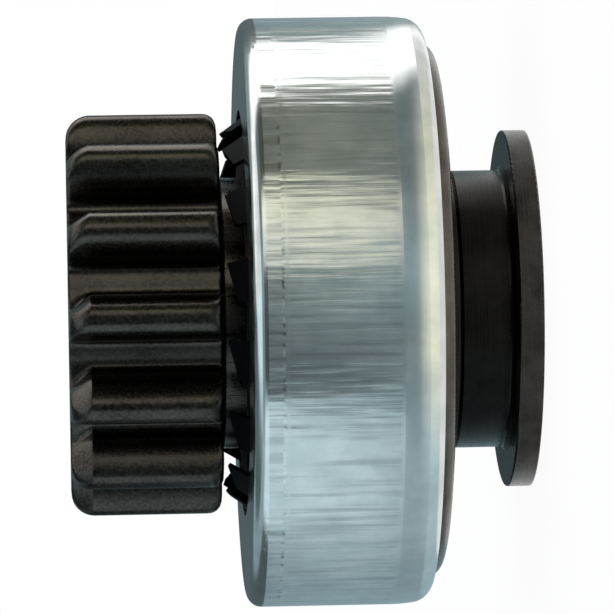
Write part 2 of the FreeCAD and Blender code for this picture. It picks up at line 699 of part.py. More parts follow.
def pieces():
    made = {
        "pinion": pinion(),
        "front_bush": bush(NOSE_Z - BUSH_RECESS - BUSH_LENGTH),
        "rear_bush": bush(RACE_END_Z + BUSH_RECESS),
        "drive_housing": drive_housing(),
        "fork_collar": fork_collar(),
        "snap_ring": snap_ring(),
        "pocket_plate": pocket_plate(),
        "half_washer_left": half_washer(0.0),
        "half_washer_right": half_washer(180.0),
        "retainer_plate": retainer_plate(),
        "felt_seal": felt_seal(),
        "star_washer": star_washer(),
        "cover": cover(),
    }
    for name, shape in (("roller", roller()), ("spring_shoe", spring_shoe()), ("spring", spring())):
        for index, copy in enumerate(around(shape, ROLLER_COUNT, FIRST_ROLLER_ANGLE)):
            made[f"{name}_{index + 1}"] = copy
    return made


os.makedirs("parts", exist_ok=True)
for name, shape in pieces().items():
    solid_count = len(shape.Solids)
    print(f"{name:20s} solids {solid_count} valid {shape.isValid()} volume {shape.Volume:9.1f}")
    shape.exportStep(f"parts/{name}.step")
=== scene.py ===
# %% [markdown]
# # A starter drive
#
# This is the part that throws a small gear into an engine's flywheel for the moment of starting.
# From the nose down it has a toothed pinion, a bright rolled cover with the clutch inside, and a black
# collar whose groove the shift fork slides in. The solids come from the CAD model as a fixed frame.
# Everything added here only dresses that frame: finishes, a finely rounded pinion, lamps and a camera.

# %% Load the frame
import bpy
import json
import math
from mathutils import Matrix, Vector


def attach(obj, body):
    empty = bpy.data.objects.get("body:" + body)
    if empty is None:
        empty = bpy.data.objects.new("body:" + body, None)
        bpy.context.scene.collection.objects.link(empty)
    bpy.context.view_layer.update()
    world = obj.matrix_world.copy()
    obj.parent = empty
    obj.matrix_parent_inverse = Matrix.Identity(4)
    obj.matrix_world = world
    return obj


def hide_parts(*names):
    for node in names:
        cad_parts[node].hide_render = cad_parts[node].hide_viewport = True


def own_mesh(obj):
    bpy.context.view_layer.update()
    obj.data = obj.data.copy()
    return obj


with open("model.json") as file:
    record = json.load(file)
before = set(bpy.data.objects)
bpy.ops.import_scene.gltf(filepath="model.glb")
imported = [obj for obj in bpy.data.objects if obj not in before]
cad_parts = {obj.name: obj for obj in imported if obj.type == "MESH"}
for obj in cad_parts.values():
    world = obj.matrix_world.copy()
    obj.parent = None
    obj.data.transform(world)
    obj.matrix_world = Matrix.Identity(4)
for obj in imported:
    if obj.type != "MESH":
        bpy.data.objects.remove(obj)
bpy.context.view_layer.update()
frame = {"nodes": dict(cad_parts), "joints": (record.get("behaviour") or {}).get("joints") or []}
nodes = frame["nodes"]

# %% [markdown]
# ## Colours and nodes
#
# A paint chart, a photograph and a web page all give colours as sRGB, but a renderer adds light
# linearly. One function does that conversion, so every colour below can be written as the hex value that
# the eye would read. A second one adds a shader node with its settings and links in one line.

# %% Helpers for colours and shader nodes
MM = 0.001


def linear(hex_colour, alpha=1.0):
    """sRGB hex such as '8a8f90' as linear RGBA."""
    channels = [int(hex_colour[i:i + 2], 16) / 255 for i in (0, 2, 4)]
    rgb = [c / 12.92 if c <= 0.04045 else ((c + 0.055) / 1.055) ** 2.4 for c in channels]
    return (*rgb, alpha)


def add(tree, kind, inputs=None, **settings):
    """Adds a node, sets it, and fills its inputs with values or with other nodes' outputs."""
    made = tree.nodes.new(kind)
    for name, value in settings.items():
        setattr(made, name, value)
    for socket, value in (inputs or {}).items():
        if isinstance(value, bpy.types.NodeSocket):
            tree.links.new(value, made.inputs[socket])
        else:
            made.inputs[socket].default_value = value
    return made


def ramp(tree, factor, stops, interpolation="LINEAR"):
    """Colour ramp from (position, hex colour) stops."""
    made = add(tree, "ShaderNodeValToRGB", {"Fac": factor})
    made.color_ramp.interpolation = interpolation
    elements = made.color_ramp.elements
    while len(elements) < len(stops):
        elements.new(0.5)
    for element, (position, colour) in zip(elements, stops):
        element.position = position
        element.color = linear(colour)
    return made.outputs["Color"]


def new_material(name):
    """Empty material with a Principled shader wired to its output."""
    material = bpy.data.materials.new(name)
    material.use_nodes = True
    tree = material.node_tree
    tree.nodes.clear()
    shader = add(tree, "ShaderNodeBsdfPrincipled")
    add(tree, "ShaderNodeOutputMaterial", {"Surface": shader.outputs["BSDF"]})
    return material, tree, shader


def place_on_part(tree):
    """X, Y, Z and the distance from the turning axis, in metres."""
    place = add(tree, "ShaderNodeTexCoord").outputs["Object"]
    x, y, z = add(tree, "ShaderNodeSeparateXYZ", {"Vector": place}).outputs
    flat = add(tree, "ShaderNodeCombineXYZ", {"X": x, "Y": y})
    radius = add(tree, "ShaderNodeVectorMath", {0: flat.outputs[0]}, operation="LENGTH").outputs["Value"]
    return x, y, z, radius


def noise_at(tree, size_mm, stretch=(1, 1, 1), detail=4.0, roughness=0.55, offset=(0, 0, 0)):
    """Noise whose grain is size_mm across; a stretch under 1 draws the grain out along that axis."""
    place = add(tree, "ShaderNodeTexCoord").outputs["Object"]
    moved = add(tree, "ShaderNodeMapping", {"Vector": place, "Location": offset, "Scale": stretch})
    return add(tree, "ShaderNodeTexNoise", {
        "Vector": moved.outputs["Vector"], "Scale": 1 / (size_mm * MM), "Detail": detail,
        "Roughness": roughness}).outputs["Fac"]


def blend_colours(tree, factor, first, second, mode="MIX"):
    """Mix node for colours, each a hex value or an output."""
    made = add(tree, "ShaderNodeMix", data_type="RGBA", blend_type=mode)
    colours = [linear(c) if isinstance(c, str) else c for c in (first, second)]
    for socket, value in zip((made.inputs[0], made.inputs[6], made.inputs[7]), (factor, *colours)):
        if isinstance(value, bpy.types.NodeSocket):
            tree.links.new(value, socket)
        else:
            socket.default_value = value
    return made.outputs[2]


def span(tree, value, low, high, to_low, to_high):
    """Map Range from low..high to to_low..to_high."""
    mapped = add(tree, "ShaderNodeMapRange", {
        "Value": value, "From Min": low, "From Max": high, "To Min": to_low, "To Max": to_high})
    return mapped.outputs["Result"]


def bump(tree, shader, height, depth_mm, strength=1.0):
    """Bump of a real depth in millimetres, joined to the shader's normal; the strength may be a mask."""
    made = add(tree, "ShaderNodeBump", {"Height": height, "Distance": depth_mm * MM, "Strength": strength})
    tree.links.new(made.outputs["Normal"], shader.inputs["Normal"])
    return made


def dress(name, material):
    """Gives a CAD node its material."""
    mesh = nodes[name].data
    mesh.materials.clear()
    mesh.materials.append(material)


print("linear mid grey:", [round(c, 3) for c in linear("808080")])

# %% [markdown]
# ## Black oxide on the pinion
#
# The pinion is forged, cut, hardened and then blackened in a hot salt bath. The oxide is thin, so the steel
# still reflects like a metal, only much darker and a little brown. The eye gets narrow highlights with soft
# edges, a fine grain from the heat treatment, and faint lines along the teeth where the cutter ran.

# %% Black oxide finish for the gear teeth
def black_oxide_gear_steel():
    material, tree, shader = new_material("black_oxide_gear_steel")
    grain = noise_at(tree, 0.35, detail=6)
    cloud = noise_at(tree, 6.0, detail=3, offset=(3, 1, 7))
    cutter = noise_at(tree, 0.5, stretch=(1, 1, 0.04), detail=3)
    tone = ramp(tree, cloud, [(0.35, "302d2b"), (0.7, "45413d")])
    colour = blend_colours(tree, span(tree, grain, 0.35, 0.7, 0.0, 0.55), tone, "625c55")
    tree.links.new(colour, shader.inputs["Base Color"])
    tree.links.new(span(tree, grain, 0.3, 0.7, 0.2, 0.32), shader.inputs["Roughness"])
    shader.inputs["Metallic"].default_value = 1.0
    height = add(tree, "ShaderNodeMath", {0: grain, 1: cutter}, operation="ADD").outputs[0]
    bump(tree, shader, height, 0.008)
    return material


gear_steel = black_oxide_gear_steel()
dress("pinion", gear_steel)
print("pinion:", gear_steel.name)

# %% [markdown]
# ## Bright zinc on the cover
#
# The cover is drawn from sheet through a die and then plated with bright zinc. The die scores the middle of
# the wall along the draw, here parallel to the axis, and where it lets go the scores stop in a clean
# line. A score tilts the surface by a few degrees to one side, so a reflection breaks into streaks. The
# rolled shoulders and a thin line near the front stay smooth. Scores are therefore relief, with painted shade
# in the deepest.

# %% Where the die has scored the wall
SCORED_FROM, SCORED_TO = 16.0 * MM, 30.5 * MM
CLEAN_LINE_FROM, CLEAN_LINE_TO = 27.8 * MM, 28.4 * MM
SCORE_END_WANDER, SCORE_DEPTH_MM = 0.06 * MM, 0.06


def height_of(tree):
    """Height above the collar's rear face, with the small wander of a score's end."""
    height = place_on_part(tree)[2]
    uneven = noise_at(tree, 0.5, stretch=(1, 1, 0.2), detail=2)
    wander = span(tree, uneven, 0.3, 0.7, -SCORE_END_WANDER, SCORE_END_WANDER)
    return add(tree, "ShaderNodeMath", {0: height, 1: wander}, operation="ADD").outputs[0]


def window(tree, height, low, high, blur):
    """One between two heights, falling to zero over the blur."""
    rise = span(tree, height, low, low + blur, 0.0, 1.0)
    fall = span(tree, height, high - blur, high, 1.0, 0.0)
    return add(tree, "ShaderNodeMath", {0: rise, 1: fall}, operation="MULTIPLY").outputs[0]


print("scored wall, mm:", round((SCORED_TO - SCORED_FROM) / MM, 2))


# %% Drawn and zinc-plated finish
def zinc_plated_drawn_steel():
    material, tree, shader = new_material("zinc_plated_drawn_steel")
    height = height_of(tree)
    whole = window(tree, height, SCORED_FROM, SCORED_TO, 0.5 * MM)
    front = window(tree, height, CLEAN_LINE_TO, SCORED_TO, 0.3 * MM)
    line = window(tree, height, CLEAN_LINE_FROM, CLEAN_LINE_TO, 0.3 * MM)
    scored = add(tree, "ShaderNodeMath", {0: line, 1: -0.6, 2: whole},
                 operation="MULTIPLY_ADD", use_clamp=True).outputs[0]
    fine = noise_at(tree, 0.7, stretch=(1, 1, 0.04), detail=3, roughness=0.5)
    other = noise_at(tree, 0.8, stretch=(1, 1, 0.06), detail=3, roughness=0.5, offset=(0.02, 0.05, 0.01))
    score = add(tree, "ShaderNodeMix", {0: front, 2: fine, 3: other}).outputs[0]
    coarse = noise_at(tree, 2.8, stretch=(1, 1, 0.15), detail=2, offset=(0.03, 0.01, 0.02))
    depth = add(tree, "ShaderNodeMath", {0: coarse, 1: 3.0, 2: score}, operation="MULTIPLY_ADD").outputs[0]
    # Painted shade: the colour darkens in the deepest scores.
    deep_score_shade = add(tree, "ShaderNodeMath", {0: span(tree, score, 0.5, 0.34, 0.0, 0.5), 1: scored},
               operation="MULTIPLY").outputs[0]
    cloud = noise_at(tree, 4.0, detail=3, offset=(0.01, 0.02, 0.03))
    clean = ramp(tree, cloud, [(0.35, "c9cdcc"), (0.65, "dcdddb")])
    tree.links.new(blend_colours(tree, deep_score_shade, clean, "9a9e9d"), shader.inputs["Base Color"])
    shader.inputs["Roughness"].default_value = 0.16
    shader.inputs["Metallic"].default_value = 1.0
    bump(tree, shader, depth, SCORE_DEPTH_MM, scored)
    return material


zinc = zinc_plated_drawn_steel()
dress("cover", zinc)
for k in range(1, 6):
    dress(f"spring_shoe_{k}", zinc)
print("cover:", zinc.name)

# %% [markdown]
# ## Turned and blackened steel
#
# The clutch housing and the fork collar are turned on a lathe before they are blackened. A lathe leaves
# fine rings round the axis, which show as lines across the neck and the flange. The groove's shade is painted.

# %% Turned black oxide finish
GROOVE_RADIUS = 15.6 * MM     # the groove's bottom lies a little inside this


def turned_black_oxide_steel(name, dark, light, groove):
    """The third colour is painted shade at the bottom of the fork's groove, nearer to the axis than the rest.
    """
    material, tree, shader = new_material(name)
    rings = noise_at(tree, 0.25, stretch=(0.02, 0.02, 1), detail=4)
    cloud = noise_at(tree, 3.0, detail=4)
    grain = noise_at(tree, 0.3, detail=4)
    tone = ramp(tree, cloud, [(0.35, dark), (0.7, light)])
    colour = blend_colours(tree, span(tree, rings, 0.4, 0.65, 0.0, 0.45), tone, light)
    radius = place_on_part(tree)[3]
    # Painted shade: the colour darkens towards the groove's bottom, near the axis.
    painted_groove_shade = span(tree, radius, GROOVE_RADIUS + 1.0 * MM, GROOVE_RADIUS, 0.0, 0.8)
    tree.links.new(blend_colours(tree, painted_groove_shade, colour, groove), shader.inputs["Base Color"])
    tree.links.new(span(tree, grain, 0.3, 0.7, 0.2, 0.34), shader.inputs["Roughness"])
    shader.inputs["Metallic"].default_value = 1.0
    bump(tree, shader, rings, 0.016)
    return material


housing_steel = turned_black_oxide_steel("turned_black_oxide_housing", "45423d", "5e5a53", "1a1816")
collar_steel = turned_black_oxide_steel("turned_black_oxide_collar", "262523", "3e3b38", "131211")
dress("drive_housing", housing_steel)
dress("fork_collar", collar_steel)
print("housing and collar:", housing_steel.name, collar_steel.name)

# %% [markdown]
# ## The small pieces
#
# The bushes are pressed from bronze powder, so they are speckled and dull. Rollers and half washers are
# ground bright. Springs and the snap ring are drawn wire. The star washer and the plates
# are stamped and blackened, and the seal is felt soaked in oil.

# %% Finishes for the small pieces
def plain_metal(name, dark, light, grain_mm, rough, stretch=(1, 1, 1), depth_mm=0.005):
    """Metal with one grain: it varies the colour a little, the roughness and the relief."""
    material, tree, shader = new_material(name)
    grain = noise_at(tree, grain_mm, stretch=stretch, detail=4)
    tree.links.new(ramp(tree, grain, [(0.35, dark), (0.65, light)]), shader.inputs["Base Color"])
    tree.links.new(span(tree, grain, 0.3, 0.7, rough - 0.05, rough + 0.08), shader.inputs["Roughness"])
    shader.inputs["Metallic"].default_value = 1.0
    bump(tree, shader, grain, depth_mm)
    return material


bronze = plain_metal("sintered_bronze", "6e4a22", "a9793f", 0.25, 0.42)
ground_steel = plain_metal("ground_hardened_steel", "8c8e90", "b4b6b6", 0.2, 0.22, (0.02, 0.02, 1))
wire_steel = plain_metal("drawn_spring_wire", "55585a", "7d8082", 0.3, 0.3)
plate_steel = plain_metal("stamped_dark_plate", "22211f", "35332f", 0.4, 0.45)
petal_steel = plain_metal("blackened_spring_sheet", "0c0c0d", "151516", 0.5, 0.62)


def oiled_felt():
    material, tree, shader = new_material("oiled_felt")
    fibre = noise_at(tree, 0.18, detail=6, roughness=0.75)
    tree.links.new(ramp(tree, fibre, [(0.3, "15130f"), (0.7, "2e2a24")]), shader.inputs["Base Color"])
    shader.inputs["Roughness"].default_value = 0.9
    bump(tree, shader, fibre, 0.1)
    return material


felt = oiled_felt()
for name, material in {
    "front_bush": bronze, "rear_bush": bronze, "snap_ring": wire_steel, "star_washer": petal_steel,
    "pocket_plate": plate_steel, "retainer_plate": plate_steel, "felt_seal": felt,
    "half_washer_left": ground_steel, "half_washer_right": ground_steel,
}.items():
    dress(name, material)
for k in range(1, 6):
    dress(f"roller_{k}", ground_steel)
    dress(f"spring_{k}", wire_steel)
print("small pieces dressed:", len(nodes) - 4)

# %% [markdown]
# ## The springs
#
# A coil spring shortens by as much as the shoe before it slides back. Here each spring's length is measured
# along its shoe's slide, and each spring gets a mesh of its own.

# %% Each spring's length along its shoe's slide
def shorten_with_shoe(k):
    slide = next(joint for joint in frame["joints"] if joint["name"] == f"shoe_{k}_slide")
    spring, axis = nodes[f"spring_{k}"], Vector(slide["axis"])
    corners = [vertex.co for vertex in spring.data.vertices]
    back = max(corners, key=axis.dot)
    length = axis.dot(back) - min(map(axis.dot, corners))
    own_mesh(spring)
    return length / MM


print("spring lengths, mm:", [round(shorten_with_shoe(k), 2) for k in range(1, 6)])

# %% [markdown]
# ## Copies round the axis
#
# The pinion is one tooth, repeated. A Geometry Nodes tree does that: it puts a point for each copy at
# the origin, turns each instance by its index, makes them real, merges the seams and smooths all but the
# sharp edges. The sizes are named inputs, so the same tree serves for anything that repeats round a centre.

# %% A tree that repeats one sector round the axis
def repeat_tree():
    tree = bpy.data.node_groups.new("copies_round_axis", "GeometryNodeTree")
    face = tree.interface
    face.new_socket("Geometry", in_out="INPUT", socket_type="NodeSocketGeometry")
    for name, kind in (("Copies", "NodeSocketInt"), ("First Angle", "NodeSocketFloat"),
                       ("Seam Distance", "NodeSocketFloat"), ("Smooth Below", "NodeSocketFloat"),
                       ("Finish", "NodeSocketMaterial")):
        face.new_socket(name, in_out="INPUT", socket_type=kind)
    face.new_socket("Geometry", in_out="OUTPUT", socket_type="NodeSocketGeometry")
    given = add(tree, "NodeGroupInput").outputs
    points = add(tree, "GeometryNodePoints", {"Count": given["Copies"]})
    step = add(tree, "ShaderNodeMath", {0: 2 * math.pi, 1: given["Copies"]}, operation="DIVIDE")
    index = add(tree, "GeometryNodeInputIndex")
    turn = add(tree, "ShaderNodeMath", {0: index.outputs[0], 1: step.outputs[0], 2: given["First Angle"]},
               operation="MULTIPLY_ADD")
    about_z = add(tree, "ShaderNodeCombineXYZ", {"Z": turn.outputs[0]})
    copies = add(tree, "GeometryNodeInstanceOnPoints", {
        "Points": points.outputs[0], "Instance": given["Geometry"], "Rotation": about_z.outputs[0]})
    real = add(tree, "GeometryNodeRealizeInstances", {"Geometry": copies.outputs[0]})
    joined = add(tree, "GeometryNodeMergeByDistance", {
        "Geometry": real.outputs[0], "Distance": given["Seam Distance"]})
    smooth = add(tree, "GeometryNodeSetShadeSmooth", {"Geometry": joined.outputs[0], "Shade Smooth": True})
    bend = add(tree, "GeometryNodeInputMeshEdgeAngle")
    soft = add(tree, "ShaderNodeMath", {0: bend.outputs["Unsigned Angle"], 1: given["Smooth Below"]},
               operation="LESS_THAN")
    edges = add(tree, "GeometryNodeSetShadeSmooth", {
        "Geometry": smooth.outputs[0], "Shade Smooth": soft.outputs[0]}, domain="EDGE")
    done = add(tree, "GeometryNodeSetMaterial", {"Geometry": edges.outputs[0], "Material": given["Finish"]})
    add(tree, "NodeGroupOutput", {"Geometry": done.outputs[0]})
    return tree


SEAM_DISTANCE = 0.004 * MM
SMOOTH_BELOW = math.radians(38)


def bake_copies(name, sector, copies, first_angle, finish):
    """Runs the tree on one sector and returns the result as a plain object."""
    raw = bpy.data.objects.new(name + "_sector", sector)
    bpy.context.scene.collection.objects.link(raw)
    modifier = raw.modifiers.new("copies", "NODES")
    modifier.node_group = copies_tree
    wanted = {"Copies": copies, "First Angle": first_angle, "Seam Distance": SEAM_DISTANCE,
              "Smooth Below": SMOOTH_BELOW, "Finish": finish}
    for item in copies_tree.interface.items_tree:
        if item.in_out == "INPUT" and item.name in wanted:
            modifier[item.identifier] = wanted[item.name]
    flats = raw.modifiers.new("flats_stay_flat", "WEIGHTED_NORMAL")
    flats.weight = 90
    flats.keep_sharp = True
    graph = bpy.context.evaluated_depsgraph_get()
    mesh = bpy.data.meshes.new_from_object(raw.evaluated_get(graph), depsgraph=graph)
    bpy.data.objects.remove(raw)
    mesh.name = name
    made = bpy.data.objects.new(name, mesh)
    bpy.context.scene.collection.objects.link(made)
    return made


copies_tree = repeat_tree()
print("tree:", copies_tree.name, [item.name for item in copies_tree.interface.items_tree])

# %% [markdown]
# ## The pinion
#
# A gear tooth's flank is an involute: the curve that a taut string's end draws as it unwinds from the base
# circle. Module, tooth count and pressure angle fix it. Cutters and wear round the tip's two edges, and
# each rounded edge catches its own line of light, which the solid's sharp edges can't. So the same tooth
# is drawn here with fine rounds: level by level along the axis, as one sector from root to root.

# %% The tooth's rule
MODULE, TOOTH_COUNT, FIRST_TOOTH = 3.0, 13, math.radians(-8.0)
PRESSURE = math.radians(20.0)
THICKENING = 0.1     # a tooth is this much thicker than half its pitch, in the usual measure
PITCH_RADIUS = MODULE * TOOTH_COUNT / 2
BASE_RADIUS = PITCH_RADIUS * math.cos(PRESSURE)
TIP_RADIUS, ROOT_RADIUS, ROOT_FILLET = 22.2, 16.2, 0.9
TIP_EDGE_ROUND = 1.1
HALF_PITCH = math.pi / TOOTH_COUNT
TEETH_Z, NOSE_Z = 34.35, 50.95
NOSE_ROUND, REAR_ROUND = 2.6, 1.5
BEVEL_LENGTH, BEVEL_DEPTH = 2.4, 1.9


def half_tooth(radius):
    """Half of a tooth's angle at a radius."""
    local = math.acos(min(1.0, BASE_RADIUS / radius))
    at_pitch = math.pi / (2 * TOOTH_COUNT) + THICKENING * math.tan(PRESSURE) / TOOTH_COUNT
    return at_pitch + math.tan(PRESSURE) - PRESSURE - math.tan(local) + local


def half_outline(tip, inset, cut, edge_round):
    """(angle, radius) points from the root's middle to the tip's edge, for one side of a tooth."""
    centre = ROOT_RADIUS + ROOT_FILLET
    fillet = ROOT_FILLET + inset
    start = half_tooth(BASE_RADIUS) + math.asin(ROOT_FILLET / centre)
    points = [(HALF_PITCH + (start - HALF_PITCH) * k / 3, ROOT_RADIUS - inset) for k in range(3)]
    for k in range(5):
        turn = math.radians(86 * k / 4)
        x, y = centre - fillet * math.cos(turn), fillet * math.sin(turn)
        points.append((start - math.atan2(y, x) - cut / centre * k / 4, math.hypot(x, y)))
    foot, head = points[-1][1] + 0.25, tip - inset - edge_round
    for k in range(8):
        radius = foot + (head - foot) * k / 7
        points.append((half_tooth(radius) - (inset + cut) / radius, radius))
    edge = points[-1]
    corner = (half_tooth(tip) - (inset + cut) / tip, tip - inset)
    land = (corner[0] - edge_round * 0.85 / tip, tip - inset)
    for k in range(1, 6):
        t = k / 5
        weights = ((1 - t) ** 2, 2 * t * (1 - t), t * t)
        points.append(tuple(sum(w * v for w, v in zip(weights, values)) for values in zip(edge, corner, land)))
    return points


def outline(tip, inset=0.0, cut=0.0):
    """One sector's outline, across one tooth; the cut takes metal off the trailing flank only."""
    plain = half_outline(tip, inset, 0.0, TIP_EDGE_ROUND)
    bevelled = half_outline(tip, inset, cut, TIP_EDGE_ROUND - 0.5 * cut / BEVEL_DEPTH)
    middle = ((bevelled[-1][0] - plain[-1][0]) / 2, tip - inset)
    return [(-angle, radius) for angle, radius in plain] + [middle] + bevelled[::-1]


print("tip width, mm:", round(2 * half_tooth(TIP_RADIUS) * TIP_RADIUS, 2))

# %% Levels along the axis
EDGE_BREAK = 0.22


def quarter(depth, radius):
    """How far a round of that radius stands back, at a depth under the face it leads to."""
    return radius - math.sqrt(max(0.0, radius ** 2 - (radius - depth) ** 2)) if depth < radius else 0.0


DEPTHS_FROM_NOSE = [0, 0.06, 0.22, 0.45, 0.75, 1.1, 1.5, 1.95, 2.36, 2.44, 2.7, 3.6, 5.5, 8.0, 10.5, 13.0]
DEPTHS_FROM_REAR = [1.6, 1.2, 0.85, 0.5, 0.22, 0.06, 0]


def toothed_rows():
    """Outlines from the nose face to the teeth's rear face, each as ((angle, radius, height), ...)."""
    rows = []
    for depth in DEPTHS_FROM_NOSE:
        cut = BEVEL_DEPTH * max(0.0, 1 - depth / BEVEL_LENGTH)
        row = outline(TIP_RADIUS - quarter(depth, NOSE_ROUND), quarter(depth, EDGE_BREAK), cut)
        rows.append([(angle, radius, NOSE_Z - depth) for angle, radius in row])
    for depth in DEPTHS_FROM_REAR:
        row = outline(TIP_RADIUS - quarter(depth, REAR_ROUND), quarter(depth, EDGE_BREAK))
        rows.append([(angle, radius, TEETH_Z + depth) for angle, radius in row])
    return rows


rows = toothed_rows()
print("levels:", len(rows), "points in each:", len(rows[0]))

# %% [markdown]
# The neck, the race for the rollers, the groove for the half washers and the stepped bore are turned shapes.
# They go on from the last outline as plain circles, and end where the rows began, so the sector closes.

# %% The whole sector, and thirteen of it
NECK_RACE = [(15.6, 34.35), (15.15, 34.22), (15.0, 33.9), (15.0, 28.9), (13.1, 28.9), (13.1, 27.0),
             (15.0, 27.0), (15.0, 15.0), (14.5, 14.5)]
STEPPED_BORE = [(10.3, 14.5), (9.5, 15.3), (9.5, 27.4), (9.0, 27.4), (9.0, 38.05), (9.5, 38.05), (9.5, 50.15),
                (10.3, 50.95)]


def pinion_sector():
    angles = [angle for angle, _ in outline(TIP_RADIUS)]
    circles = [[(angle, radius, height) for angle in angles] for radius, height in NECK_RACE + STEPPED_BORE]
    loop = rows + circles
    width = len(angles)
    points = [(r * math.cos(a) * MM, r * math.sin(a) * MM, z * MM) for row in loop for a, r, z in row]
    faces = []
    for i in range(len(loop)):
        this, after = i * width, (i + 1) % len(loop) * width
        if i in (len(rows) - 1, len(loop) - 1):    # the teeth's two flat ends, each one face
            faces.append([this, *range(after, after + width), *range(this + width - 1, this, -1)])
        else:
            faces += [(this + k, after + k, after + k + 1, this + k + 1) for k in range(width - 1)]
    mesh = bpy.data.meshes.new("pinion_sector")
    mesh.from_pydata(points, [], faces)
    return mesh


def signed_volume(mesh):
    """Volume that the faces close, in cubic millimetres: negative if they point inwards."""
    total = 0.0
    for face in mesh.polygons:
        corners = [mesh.vertices[i].co for i in face.vertices]
        for b, c in zip(corners[1:], corners[2:]):
            total += corners[0].dot(b.cross(c)) / 6
    return total / MM ** 3


toothed_pinion = bake_copies("toothed_pinion", pinion_sector(), TOOTH_COUNT, FIRST_TOOTH, gear_steel)
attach(toothed_pinion, "pinion")
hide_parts("pinion")
print("pinion faces:", len(toothed_pinion.data.polygons), "volume:", round(signed_volume(toothed_pinion.data)))

# %% [markdown]
# ## The studio
#
# The picture shows the part lying on its side against white. In the row's frame it stands on its collar,
# so the camera is rolled a quarter turn and the picture's up is +X. A bright metal shows the room
# more than itself, so the room is built first: a tent round the axis, which only reflections see. Its
# bands stand for a softbox overhead, a warm reflector above the camera and a blue bounce from below. The part
# of it that faces the black pinion has brighter lights and a darker room, for clear highlights on dark steel.

# %% Brightness round the axis
TENT_RADIUS = 0.42
TENT_TOP = 0.45
CARD_HOLE = 0.0335

# Angle from behind the part, over the picture's top, to the camera and under it; then colour and strength.
DIM_BLUE_ROOM, GREY_ROOM, SOFTBOX = "90a8b0", "9aaaaa", "ffffff"
OLIVE_CEILING, WARM_REFLECTOR, DARK_BY_CAMERA, BLUE_BOUNCE = "90968a", "ffffe8", "7e8c90", "d8f0f8"
LEVEL_BANDS = [
    (0, DIM_BLUE_ROOM, 1.0), (50, GREY_ROOM, 1.0), (60, SOFTBOX, 2.0), (80, SOFTBOX, 2.0),
    (90, OLIVE_CEILING, 0.9), (130, OLIVE_CEILING, 1.1), (140, WARM_REFLECTOR, 1.15),
    (152, WARM_REFLECTOR, 1.1), (170, GREY_ROOM, 1.1), (190, DARK_BY_CAMERA, 1.0),
    (206, DARK_BY_CAMERA, 0.9), (222, BLUE_BOUNCE, 1.0),
    (258, BLUE_BOUNCE, 0.95), (310, DIM_BLUE_ROOM, 1.1), (345, DIM_BLUE_ROOM, 1.0),
]
NOSE_BANDS = [
    (0, DIM_BLUE_ROOM, 0.3), (50, GREY_ROOM, 0.5), (58, SOFTBOX, 3.0), (84, SOFTBOX, 3.0),
    (94, OLIVE_CEILING, 0.3), (130, OLIVE_CEILING, 0.3), (138, WARM_REFLECTOR, 1.3), (156, SOFTBOX, 1.1),
    (166, GREY_ROOM, 0.3), (206, DARK_BY_CAMERA, 0.3), (220, BLUE_BOUNCE, 1.2), (260, BLUE_BOUNCE, 1.2),
    (275, DIM_BLUE_ROOM, 0.3),
]
END_BANDS = [
    (0, DIM_BLUE_ROOM, 1.0), (42, GREY_ROOM, 1.0), (54, SOFTBOX, 1.8), (84, SOFTBOX, 1.8),
    (96, DARK_BY_CAMERA, 0.8), (140, DARK_BY_CAMERA, 0.9), (165, DIM_BLUE_ROOM, 1.1),
    (190, DARK_BY_CAMERA, 1.1), (215, DIM_BLUE_ROOM, 0.9), (240, BLUE_BOUNCE, 0.6), (300, DIM_BLUE_ROOM, 1.0),
]
LIP_BANDS = [
    (0, GREY_ROOM, 1.0), (40, GREY_ROOM, 1.1), (60, SOFTBOX, 1.3), (90, SOFTBOX, 0.8),
    (130, WARM_REFLECTOR, 0.8), (165, WARM_REFLECTOR, 1.15), (190, WARM_REFLECTOR, 1.1),
    (220, BLUE_BOUNCE, 0.85), (300, DIM_BLUE_ROOM, 1.2),
]
LID_BANDS = [
    (0, GREY_ROOM, 0.5), (40, GREY_ROOM, 1.0), (62, SOFTBOX, 1.5), (140, SOFTBOX, 0.9), (180, BLUE_BOUNCE, 1.3),
    (215, BLUE_BOUNCE, 1.1), (245, DIM_BLUE_ROOM, 0.8), (280, DIM_BLUE_ROOM, 0.4),
]


def band_colours(tree, turn, bands):
    """Ramp over the turn round the axis; a stop's strength may pass one, as a softbox does."""
    made = add(tree, "ShaderNodeValToRGB", {"Fac": turn})
    elements = made.color_ramp.elements
    while len(elements) < len(bands):
        elements.new(0.5)
    for element, (angle, colour, strength) in zip(elements, bands):
        element.position = angle / 360
        element.color = (*(c * strength for c in linear(colour)[:3]), 1.0)
    return made.outputs["Color"]


print("bands:", [len(bands) for bands in (LEVEL_BANDS, NOSE_BANDS, END_BANDS, LIP_BANDS, LID_BANDS)])

# %% [markdown]
# The tent is one mesh: a wall round the axis, a card on the floor with a hole for the part, and a bright
# lid over the pinion's nose. Level with the cover the wall shows the broad bands, and level with the pinion
# the stronger ones. Towards both ends it turns to quieter ones, so the rolled shoulders get their darker line.

# %% The tent that reflections see
# Each zone's bands come in from the first value to the second, in metres.
NOSE_ZONE_HEIGHT = (0.013, 0.022)
END_ZONE_HEIGHT, END_ZONE_RADIUS = (0.2, 0.26), (0.3, 0.2)
FLOOR_ZONE_HEIGHT, LIP_ZONE_RADIUS = (0.001, 0.002), (0.085, 0.07)
LID_ZONE_HEIGHT = (TENT_TOP - 0.02, TENT_TOP - 0.01)


